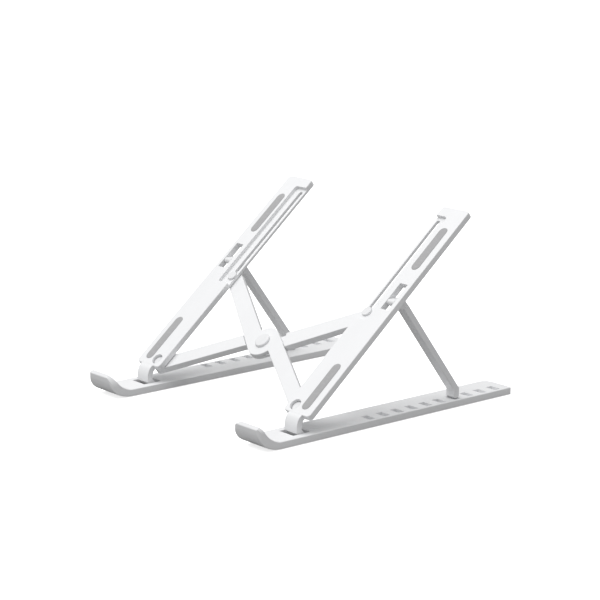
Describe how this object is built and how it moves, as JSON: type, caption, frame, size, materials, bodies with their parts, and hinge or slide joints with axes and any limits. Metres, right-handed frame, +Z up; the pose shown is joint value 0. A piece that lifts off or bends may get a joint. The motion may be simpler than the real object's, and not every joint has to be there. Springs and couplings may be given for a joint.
{
  "type": "laptop stand",
  "caption": "Folding laptop stand: two hooked base bars carry sloping arms on notched struts, joined by crossed sliding links.",
  "frame": {"origin": "centre of the stand's footprint, on the surface it stands on", "axes": "+Z up, +Y from the hooks at the user's side to the rear, +X to the user's right"},
  "size_m": [0.21, 0.2498, 0.1491],
  "materials": {
    "white_plastic": "fine satin moulded ABS",
    "grey_silicone": "matte silicone",
    "white_rivet": "smooth moulded cap",
    "clear_washer": "natural nylon",
    "steel": "drawn steel wire"
  },
  "bodies": {
    "right_base": {"right_base": "white_plastic", "right_front_foot_pad": "grey_silicone", "right_rear_foot_pad": "grey_silicone", "right_hinge_pin": "steel"},
    "right_arm": {"right_arm": "white_plastic", "right_lower_arm_pad": "grey_silicone", "right_upper_arm_pad": "grey_silicone", "right_strut_pin": "steel", "right_pivot_rivet": "white_rivet", "right_pivot_washer": "clear_washer"},
    "right_strut": {"right_strut": "white_plastic"},
    "link_b": {"link_b": "white_plastic", "left_slider_pin": "white_rivet", "left_slider_washer": "clear_washer", "centre_rivet": "white_rivet", "centre_cap": "white_rivet"},
    "link_a": {"link_a": "white_plastic", "right_slider_pin": "white_rivet", "right_slider_washer": "clear_washer"},
    "left_arm": {"left_arm": "white_plastic", "left_lower_arm_pad": "grey_silicone", "left_upper_arm_pad": "grey_silicone", "left_strut_pin": "steel", "left_pivot_rivet": "white_rivet", "left_pivot_washer": "clear_washer"},
    "left_strut": {"left_strut": "white_plastic"},
    "left_base": {"left_base": "white_plastic", "left_front_foot_pad": "grey_silicone", "left_rear_foot_pad": "grey_silicone", "left_hinge_pin": "steel"}
  },
  "joints": [
    {"name": "right_tilt", "type": "hinge", "parent": "right_base", "child": "right_arm", "pos_m": [0.0906, -0.0771, 0.0032], "axis": [1, 0, 0], "range_deg": [-15, 35.5]},
    {"name": "right_prop", "type": "hinge", "parent": "right_arm", "child": "right_strut", "pos_m": [0.097, 0.00744, 0.08855], "axis": [1, 0, 0], "range_deg": [-84, 36]},
    {"name": "width_fold", "type": "hinge", "parent": "right_arm", "child": "link_b", "pos_m": [0.0843, -0.06903, 0.0174], "axis": [0, 0.6409, -0.7676], "range_deg": [0, 46]},
    {"name": "centre_pivot", "type": "hinge", "parent": "link_b", "child": "link_a", "pos_m": [0, -0.03472, 0.04605], "axis": [0, 0.6409, -0.7676], "range_deg": [-92, 0]},
    {"name": "left_link_pivot", "type": "hinge", "parent": "link_a", "child": "left_arm", "pos_m": [-0.0843, -0.06903, 0.0174], "axis": [0, 0.6409, -0.7676], "range_deg": [0, 46]},
    {"name": "left_prop", "type": "hinge", "parent": "left_arm", "child": "left_strut", "pos_m": [-0.097, 0.00744, 0.08855], "axis": [1, 0, 0], "range_deg": [-84, 36]},
    {"name": "left_tilt", "type": "hinge", "parent": "left_arm", "child": "left_base", "pos_m": [-0.0906, -0.0771, 0.0032], "axis": [1, 0, 0], "range_deg": [-35.5, 15]}
  ],
  "couplings": [
    {"joint": "right_prop", "follows": "right_tilt", "ratio": -2.35},
    {"joint": "left_prop", "follows": "right_tilt", "ratio": -2.35},
    {"joint": "left_tilt", "follows": "right_tilt", "ratio": -1},
    {"joint": "centre_pivot", "follows": "width_fold", "ratio": -2},
    {"joint": "left_link_pivot", "follows": "width_fold", "ratio": 1}
  ]
}
